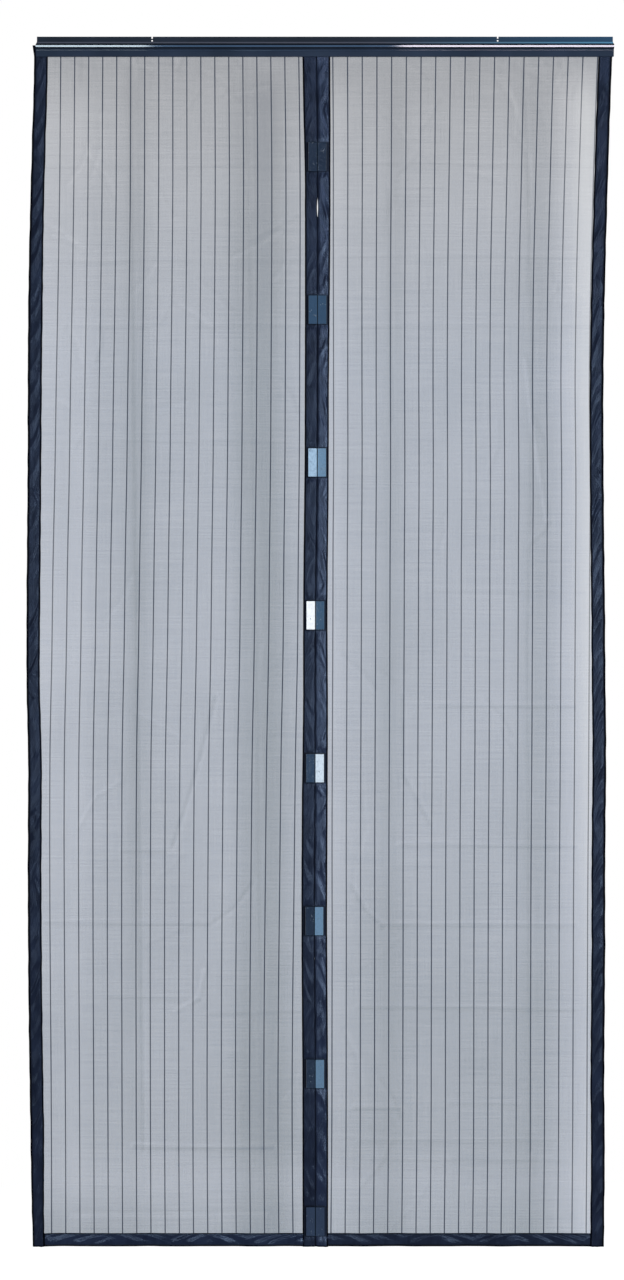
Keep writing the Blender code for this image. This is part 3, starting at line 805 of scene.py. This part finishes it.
def mesh_panel(word, shift):
    """A panel's mesh with its stripes. shift moves its waves along."""
    source = f"{word}_mesh"
    heights, columns = mesh_stations(source)
    count = columns.shape[1]
    rows = int((heights[-1] - heights[0]) / PANEL_ROW_STEP)
    at = np.linspace(heights[0], heights[-1], rows + 1)
    xs, ys = through(heights, columns[:, :, 0], at), through(heights, columns[:, :, 1], at)
    stations = np.array(DRIFT_STATIONS)
    first, last = (
        through(stations, np.array(drift), np.clip(at, stations[0], stations[-1]))[:, None]
        for drift in STRIPE_DRIFT[word]
    )
    across = (xs - xs[:, :1]) / (xs[:, -1:] - xs[:, :1])
    xs[:, 1:-1] += (first + (last - first) * across)[:, 1:-1]
    shares, stripe_faces = [], []
    for column in range(count - 1):
        is_stripe = 0 < column < count - 2 and column % 3 != 0
        steps = 1 if is_stripe else GAP_COLUMNS
        shares += [column + step / steps for step in range(steps)]
        stripe_faces += [is_stripe] * steps
    shares = np.array([*shares, count - 1])
    low_column = np.minimum(shares.astype(int), count - 2)
    part = shares - low_column
    x = xs[:, low_column] * (1 - part) + xs[:, low_column + 1] * part
    y = ys[:, low_column] * (1 - part) + ys[:, low_column + 1] * part
    z = np.repeat(at[:, None], len(shares), axis=1)

    width = abs(x[0, -1] - x[0, 0])
    from_left, from_right = np.abs(x - x[:, :1]), np.abs(x - x[:, -1:])
    inside = soft_step(from_left, *SIDE_EASE) * soft_step(from_right, *SIDE_EASE)
    inside = inside * soft_step(lip_bottom - z, *TOP_EASE)
    inside = inside * soft_step(z - cloth_bottom, *BOTTOM_EASE)
    lift = BILLOW * ripple(z / LONG_WAVE + shift, 2.2 * x / width, shift)
    small = ripple((z + 0.7 * x) / SHORT_WAVE, 6 * x / width, 2 * shift)
    lift = lift + SHORT_WAVE_SHARE * BILLOW * small
    dense = np.interp(z, HEIGHT_STATIONS, HEIGHT_DENSITY)
    for place, half_width, above, below in SOFT_FOLDS:
        sway = FOLD_SWAY * np.sin(2.1 * z + 9 * place)
        thicker = below + (above - below) * soft_step(z, *FOLD_CHANGE)
        thicker = thicker * soft_step(-z, 0.0, FOLD_DEPTH)
        dense = dense + thicker * bell(x - place - sway, half_width)
    patch_x, patch_width, patch_height, patch_density = CORNER_PATCH
    corner = np.hypot((x - patch_x) / patch_width, (z - cloth_bottom) / patch_height)
    dense = dense + patch_density * bell(corner, 1.0)
    for strength, *points in CREASES:
        mark = crease_marks(x, z, points, CREASE_HALF_WIDTH)
        fade = 0.75 + 0.25 * ripple((x + 1.3 * z) / 0.05, 0.0, 20 * points[0][1])
        dense = dense + CREASE_DENSITY * strength * fade * mark
        lift = lift + CREASE_RISE * strength * mark
    low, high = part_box(source)
    for _ in range(CRUMPLES):
        strength = rng.uniform(-1.0, 1.0)
        mark = crease_marks(x, z, crumple_line(low, high), CRUMPLE_HALF_WIDTH)
        dense = dense + CRUMPLE_DENSITY * strength * mark
        lift = lift + CRUMPLE_RISE * strength * mark
    y = y - lift * inside

    made = grid_object(f"{word}_mesh_sheet", np.stack([x, y, z], axis=-1), mesh_finish)
    made.data.materials.append(stripe_finish)
    slots = np.tile(np.array(stripe_faces, np.int32), len(at) - 1)
    made.data.polygons.foreach_set("material_index", slots)
    point_attribute(made.data, "dense", dense)
    made.data.update()
    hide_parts(source)
    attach(made, "root")


# Folded tapes


def tape_section(width):
    """The folded tape's section from its front free edge to its rear free edge: each point's reach
    from the fold, how far forward of the cloth it is, and its leg, 1 in front and -1 behind."""
    sewn = width - STITCH_LINE
    outer = [width, width - EDGE_COLUMN, sewn + STITCH_COLUMN, sewn, sewn - STITCH_COLUMN]
    front, rear = (
        np.concatenate([outer, np.linspace(sewn - PLAIN_COLUMN, 1.6 * FOLD_RADIUS, columns)])
        for columns in (FRONT_COLUMNS, REAR_COLUMNS)
    )
    bends = np.linspace(-math.pi / 2, math.pi / 2, FOLD_STEPS)
    leg = np.concatenate([np.ones(len(front)), np.zeros(FOLD_STEPS), -np.ones(len(rear))])
    reach = np.concatenate([front, FOLD_RADIUS * (1 - np.cos(bends)), rear[::-1]])
    curve = np.concatenate([np.zeros(len(front)), -np.sin(bends), np.zeros(len(rear))])
    return reach, FOLD_RADIUS * (leg + curve), leg


def near_magnets(heights):
    """Distance from each height to the end of the nearest bar, negative under the bar."""
    away = [np.abs(heights - middle) - MAGNET_HALF_LENGTH for middle in magnet_middles]
    return np.min(away, axis=0)


def slack(along, share, shift, leg, slumped=False):
    """A leg's belly, higher in some stretches of the tape than in others. slumped puts its crest
    near the free edge."""
    belly = BELLY * np.sin(math.pi * np.clip(share, 0.0, 1.0)) ** 0.7
    if slumped:
        belly = RIGHT_CENTRE_BELLY * np.sin(math.pi * np.clip(share, 0.0, 1.0) ** 2.2)
    return belly * (1 + ripple(along / BELLY_WAVE + 0.55 * share, 1.4 * share, shift + 1.7 * leg))


def slanting_folds(along, reach, width, lean=0.0):
    """Flat-sided folds that run aslant down a tape, leaning one way in some stretches and the other
    way in the rest. lean, from -1 to 1, makes one way more common."""
    share = np.clip(reach / width, 0.0, 1.0)
    lift = np.zeros_like(along)
    turn = lean + ripple(along / 0.19, 0.0, rng.uniform(0.0, 6.0))
    for way in (-1.0, 1.0):
        knots = along.min() - 0.05 + np.cumsum(rng.uniform(*FOLD_STEP, FOLD_COUNT))
        rises = FOLD_RISE * rng.uniform(0.35, 1.0, FOLD_COUNT)
        rises[::2] = 0.0
        slant = way * FOLD_SLANT * (1 + 0.35 * ripple(along / 0.23, 0.0, 3 + way))
        place = along - slant * (share - 0.5) + FOLD_BEND * way * np.sin(math.pi * share)
        crests = knots[1::2]
        after = np.clip(np.searchsorted(crests, place), 1, len(crests) - 1)
        distance = np.minimum(np.abs(place - crests[after - 1]), np.abs(crests[after] - place))
        folds = np.interp(place, knots, rises) + RIDGE_RISE * bell(distance, RIDGE_HALF_WIDTH)
        lift = lift + folds * soft_step(way * turn, -0.15, 0.15)
    return lift * np.sin(math.pi * share) ** 0.5


def bar_puckers(along, share, shift):
    """Ridges that fan out from the ends of each bar."""
    away = near_magnets(along)
    spread = (share - PUCKER_MIDDLE) * PUCKER_SPREAD / (PUCKER_START + np.clip(away, 0.0, 0.1))
    fan = np.cos(2 * math.pi * (PUCKER_TURNS * spread) + shift)
    fade = np.where(away > 0, np.exp(-np.clip(away, 0.0, 1.0) / PUCKER_REACH), 0.0)
    fade = fade * soft_step(away, 0.0, 0.004)
    return PUCKER_RISE * fade * (0.5 + 0.5 * fan) * np.sin(math.pi * np.clip(share, 0.0, 1.0))


def fold_tape(
    name, source, spine, inward, width, stand_off, shade, squeeze=None, tuck=None, pinch=1.0, dark=None
):
    """Tape folded over an edge of the cloth. spine is the fold's (x, z) rows and inward the
    direction from it into the cloth. stand_off(reach, leg) gives how far a leg stands off at
    (rows, reaches). shade is how wide the painted shade is along the free edge and at the fold.
    Row by row, squeeze narrows the tape, tuck pushes its fold back, pinch brings its legs
    together and dark paints the bars' shadow on its front."""
    reach, forward, leg = tape_section(width)
    rear_stand = REAR_SHARE * stand_off(reach, -1.0)
    stand = np.where(leg > 0, stand_off(reach, 1.0), rear_stand) * np.abs(leg)
    depth = (forward + leg * stand) * pinch
    if tuck is not None:
        depth = depth - TUCK * tuck[:, None] * (1 - soft_step(reach, 0.0, TUCK_REACH))
    across = np.repeat(reach[None, :], len(spine), axis=0)
    if squeeze is not None:
        across = across * (1 - squeeze[:, None] / width)
    x = spine[:, :1] + inward[0] * across
    z = spine[:, 1:] + inward[1] * across
    points = np.stack([x, cloth_y - depth, z], axis=-1)
    made = grid_object(name, points, tape_finishes[name])
    # The faces in painted shade along the edges, and the first row, take the near-black edge material
    made.data.materials.append(edge_shade_finish)
    middles = (reach[1:] + reach[:-1]) / 2
    at_edge = (width - middles < 0.5 * shade[0]) | (middles < 0.5 * shade[1])
    slots = np.tile(at_edge.astype(np.int32), (len(spine) - 1, 1))
    slots[0] = 1
    made.data.polygons.foreach_set("material_index", slots.ravel())
    # Painted shade along the free edge and the fold, and the bars' painted shadow on the front leg
    selvedge = 1 - soft_step(width - reach, 0.5 * shade[0], shade[0])
    turned = 1 - soft_step(reach, 0.5 * shade[1], shade[1])
    edge = np.repeat(np.maximum(selvedge, turned)[None, :], len(spine), axis=0)
    if dark is not None:
        edge = np.maximum(edge, dark[:, None] * (leg > 0))
    point_attribute(made.data, "edge", edge)
    give_wall(made, TAPE_WALL)
    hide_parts(source)
    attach(made, "root")
    return made, points


def thread_rings(centre):
    """Rings of points round a stitch, from one end to the other."""
    way = centre[-1] - centre[0]
    way = way / np.linalg.norm(way)
    forward = np.array((0.0, 1.0, 0.0))
    sideways = np.cross(way, forward)
    turns = 2 * math.pi * np.arange(THREAD_SIDES) / THREAD_SIDES
    out = np.outer(np.cos(turns), sideways) + np.outer(np.sin(turns), forward)
    thickness = STITCH_RADIUS * np.array(STITCH_THICKNESS)
    return centre[:, None, :] + thickness[:, None, None] * out[None, :, :]


def stitches(name, points, width, margin):
    """Rows of sewing stitches on the front and rear legs, along the tape's stitch line. margin is
    how far they stay from the tape's ends."""
    reach = tape_section(width)[0]
    column = int(np.argmin(np.abs(reach - (width - STITCH_LINE))))
    form = bmesh.new()
    for which, outward in ((column, -1.0), (len(reach) - 1 - column, 1.0)):
        line = points[:, which].copy()
        line[:, 1] += outward * (TAPE_WALL / 2 + STITCH_RADIUS * STITCH_STAND)
        run = np.concatenate([[0.0], np.cumsum(np.linalg.norm(np.diff(line, axis=0), axis=1))])
        for start in np.arange(margin, run[-1] - STITCH_LENGTH - margin, STITCH_PITCH):
            at = np.array(STITCH_SHARES) * STITCH_LENGTH + start
            centre = np.stack([np.interp(at, run, line[:, axis]) for axis in range(3)], axis=-1)
            rings = [[form.verts.new(point) for point in ring] for ring in thread_rings(centre)]
            for first, second in zip(rings, rings[1:]):
                for corner in range(THREAD_SIDES):
                    after = (corner + 1) % THREAD_SIDES
                    form.faces.new((first[corner], first[after], second[after], second[corner]))
            form.faces.new(rings[0][::-1])
            form.faces.new(rings[-1])
    bmesh.ops.recalc_face_normals(form, faces=form.faces)
    data = bpy.data.meshes.new(name)
    form.to_mesh(data)
    form.free()
    data.materials.append(thread_finish)
    data.polygons.foreach_set("use_smooth", np.ones(len(data.polygons), bool))
    made = add_object(name, data)
    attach(made, "root")
    return made


def upright_tape(word, kind, fold_side, shift, seam_gap=None):
    """The tape down one edge of a panel. fold_side is the side that its fold is on, -1 or 1, shift
    moves its waves along, and seam_gap is the distance to the tape that it meets, as (heights,
    distances)."""
    source = f"{word}_{kind}_binding"
    heights, folds, width = tape_stations(source, 2, 0, fold_side)
    rows = int((heights[-1] - heights[0]) / TAPE_ROW_STEP)
    at = np.linspace(heights[0], heights[-1], rows + 1)
    x = through(heights, folds, at) - fold_side * TAPE_WALL / 2
    free = soft_step(lip_bottom - at, 0.0, FREE_EASE)
    stations, moves, widenings = TAPE_HANG[f"{word}_{kind}"]
    x = x + np.interp(at, stations, moves) * free
    squeeze = -np.interp(at, stations, widenings)
    pressed = free[:, None]
    if kind == "side":
        shade, lean, fold_share, tuck, dark = SIDE_SHADE, -SIDE_LEAN * fold_side, 1.0, None, None
        x = x + fold_side * FOLD_EDGE_RISE * ripple(at / FOLD_EDGE_WAVE, 0.0, shift) * free
    else:
        shade, lean, fold_share = CENTRE_SHADE, 0.0, CENTRE_FOLDS
        gap = np.interp(at, *seam_gap)
        shut = 1 - soft_step(gap, *SHUT_GAP)
        moved = (gap + OVERLAP * free) / 2 * shut + gap / 2 * (1 - SLIT_SHARE) * (1 - shut)
        x = x + fold_side * moved
        squeeze = squeeze + SLIT_SHARE * gap / 2 * (1 - shut)
        tuck = shut * free if fold_side < 0 else None
        pressed = pressed * soft_step(near_magnets(at), *PRESSED_EASE)[:, None]
        # Painted shadow of the bars on the tape beside them
        dark = BAR_SHADE * (1 - soft_step(near_magnets(at), *BAR_FADE))
    spine = np.stack([x, at], axis=-1)
    section_width = width - TAPE_WALL / 2
    along = np.repeat(at[:, None], len(tape_section(section_width)[0]), axis=1)

    def stand_off(reach, leg):
        share = np.repeat(reach[None, :] / section_width, len(at), axis=0)
        folds = fold_share * slanting_folds(along, reach[None, :], section_width, lean)
        lift = slack(along, share, shift, leg, source == "right_centre_binding") + folds
        if kind == "centre" and leg > 0:
            return lift * pressed + bar_puckers(along, share, shift) * free[:, None]
        return lift * pressed

    made, points = fold_tape(
        f"{word}_{kind}_tape",
        source,
        spine,
        (-fold_side, 0.0),
        section_width,
        stand_off,
        shade,
        squeeze,
        tuck,
        dark=dark,
    )
    sewn = stitches(f"{word}_{kind}_stitching", points, section_width, UPRIGHT_MARGIN)


def bottom_tape(word, shift):
    """The tape along a panel's lower edge. shift moves its waves along."""
    source = f"{word}_bottom_binding"
    xs, folds, height = tape_stations(source, 0, 2, -1)
    columns = int((xs[-1] - xs[0] + 2 * TUCKED_END) / TAPE_ROW_STEP)
    at = np.linspace(xs[0] - TUCKED_END, xs[-1] + TUCKED_END, columns + 1)
    fold = through(xs, folds, np.clip(at, xs[0], xs[-1])) + TAPE_WALL / 2
    spine = np.stack([at, fold], axis=-1)
    from_end = np.minimum(at - xs[0], xs[-1] - at)
    pinch = END_PINCH + (1 - END_PINCH) * soft_step(from_end, *PINCH_EASE)[:, None]
    width = height - TAPE_WALL / 2
    along = np.repeat(at[:, None], len(tape_section(width)[0]), axis=1)

    def stand_off(reach, leg):
        share = np.repeat(reach[None, :] / width, len(at), axis=0)
        return slack(along, share, shift, leg) + slanting_folds(along, reach[None, :], width)

    made, points = fold_tape(
        f"{word}_bottom_tape",
        source,
        spine,
        (0.0, 1.0),
        width,
        stand_off,
        BOTTOM_SHADE,
        pinch=pinch,
    )
    margin = TUCKED_END + BOTTOM_MARGIN
    sewn = stitches(f"{word}_bottom_stitching", points, width, margin)


def hem_tape(word):
    """The folded tape along a panel's top, flat between the rail's two walls."""
    source = f"{word}_top_hem"
    low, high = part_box(source)
    at = np.linspace(low.x, high.x, 40)
    spine = np.stack([at, np.full(len(at), high.z - TAPE_WALL / 2)], axis=-1)
    width = high.z - low.z - TAPE_WALL / 2

    def stand_off(reach, leg):
        return np.zeros((len(at), len(reach)))

    name = f"{word}_hem_tape"
    made, _ = fold_tape(name, source, spine, (0.0, -1.0), width, stand_off, SIDE_SHADE)


# The gap between the centre tapes' folds all the way down
left_heights, left_folds, _ = tape_stations("left_centre_binding", 2, 0, 1)
right_heights, right_folds, _ = tape_stations("right_centre_binding", 2, 0, -1)
seam_heights = np.union1d(left_heights, right_heights)
right_at = np.interp(seam_heights, right_heights, right_folds)
left_at = np.interp(seam_heights, left_heights, left_folds)
seam_gaps = right_at - left_at

# Each piece has a shift of its own, so that no two sway alike
for word, side in (("left", -1), ("right", 1)):
    mesh_panel(word, 1.3 * side)
    upright_tape(word, "side", side, 0.7 * side)
    upright_tape(word, "centre", -side, 2.1 * side, (seam_heights, seam_gaps))
    bottom_tape(word, 1.9 * side)
    hem_tape(word)

# Camera
camera_data = bpy.data.cameras.new("camera")
camera = add_object("camera", camera_data)
bpy.context.scene.camera = camera
camera_data.sensor_width = SENSOR
camera_data.sensor_fit = "AUTO"
camera_data.lens = SENSOR * CAMERA_DISTANCE / PICTURE_HEIGHT
camera.location = (CAMERA_X, cloth_y - CAMERA_DISTANCE, CAMERA_Z)
camera.rotation_euler = (math.pi / 2, 0.0, 0.0)
camera_data.clip_start = 0.05
camera_data.clip_end = 100.0


def softbox(name, left, right, bottom, top, brightness, colour):
    """A lit panel in the light plane, facing the screen. A brightness of 1 is white."""
    data = bpy.data.lights.new(name, "AREA")
    data.shape = "RECTANGLE"
    data.size, data.size_y = right - left, top - bottom
    data.energy = brightness * WATTS_FOR_WHITE * data.size * data.size_y
    data.color = colour
    made = add_object(name, data)
    made.location = ((left + right) / 2, LIGHT_PLANE, (bottom + top) / 2)
    made.rotation_euler = Vector((0.0, 1.0, 0.0)).to_track_quat("-Z", "Z").to_euler()
    made.visible_camera = False


for light_name, light in LIGHTS.items():
    softbox(light_name, *light)


def studio_world():
    """White for the camera everywhere, and for gloss and glass behind the object. Otherwise a dim
    blue room."""
    world = bpy.data.worlds.new("studio")
    bpy.context.scene.world = world
    world.use_nodes = True
    tree = world.node_tree
    tree.nodes.clear()
    output = tree.nodes.new("ShaderNodeOutputWorld")
    rays = tree.nodes.new("ShaderNodeLightPath").outputs
    direction = tree.nodes.new("ShaderNodeTexCoord").outputs["Generated"]
    behind = ramp(axes_of(direction)["Y"], -0.15, 0.15)
    mirrored = calc("MAXIMUM", rays["Is Glossy Ray"], rays["Is Transmission Ray"])
    mirrored_behind = calc("MULTIPLY", mirrored, behind)
    white = calc("MAXIMUM", rays["Is Camera Ray"], mirrored_behind)
    room = tree.nodes.new("ShaderNodeBackground")
    feed(room, "Color", mix(mirrored, ROOM_LIGHT, ROOM_MIRRORED))
    backdrop = tree.nodes.new("ShaderNodeBackground")
    backdrop.inputs["Color"].default_value = (*WHITE, 1.0)
    either = tree.nodes.new("ShaderNodeMixShader")
    feed(either, 0, white)
    feed(either, 1, room.outputs[0])
    feed(either, 2, backdrop.outputs[0])
    feed(output, "Surface", either.outputs[0])


def floor_material():
    """Pale and matt, with the object's shadow, and plain white for the camera towards the rim."""
    made = bpy.data.materials.new("floor")
    made.use_nodes = True
    tree = made.node_tree
    tree.nodes.clear()
    output = tree.nodes.new("ShaderNodeOutputMaterial")
    place = tree.nodes.new("ShaderNodeTexCoord").outputs["Object"]
    length = tree.nodes.new("ShaderNodeVectorMath")
    length.operation = "LENGTH"
    feed(length, 0, place)
    rim = ramp(length.outputs["Value"], GLOW_START, GLOW_END)
    rays = tree.nodes.new("ShaderNodeLightPath").outputs
    seen_rim = calc("MULTIPLY", rim, rays["Is Camera Ray"])
    unlit = calc("MAXIMUM", seen_rim, rays["Is Glossy Ray"])
    matt = tree.nodes.new("ShaderNodeBsdfDiffuse")
    grain = noise(place, 180.0, 2.0, 0.5)
    pale = mix(grain, (0.78, 0.78, 0.78), (0.82, 0.82, 0.82))
    feed(matt, "Color", mix(unlit, pale, BLACK))
    glow = tree.nodes.new("ShaderNodeEmission")
    level = ramp(rim, 0.0, 1.0, FLOOR_GLOW, 1.0)
    seen = calc("MULTIPLY", rays["Is Camera Ray"], level)
    feed(glow, "Strength", calc("MAXIMUM", seen, rays["Is Glossy Ray"]))
    glow_colour = mix(rays["Is Glossy Ray"], WHITE, FLOOR_MIRRORED)
    feed(glow, "Color", glow_colour)
    both = tree.nodes.new("ShaderNodeAddShader")
    feed(both, 0, matt.outputs[0])
    feed(both, 1, glow.outputs[0])
    feed(output, "Surface", both.outputs[0])
    return made


studio_world()

floor_form = bmesh.new()
bmesh.ops.create_circle(floor_form, cap_ends=True, segments=96, radius=FLOOR_RADIUS)
floor_data = bpy.data.meshes.new("floor")
floor_form.to_mesh(floor_data)
floor_form.free()
floor_data.materials.append(floor_material())
floor = add_object("floor", floor_data)
floor.location.z = FLOOR_HEIGHT

bpy.context.scene.view_settings.view_transform = "Standard"
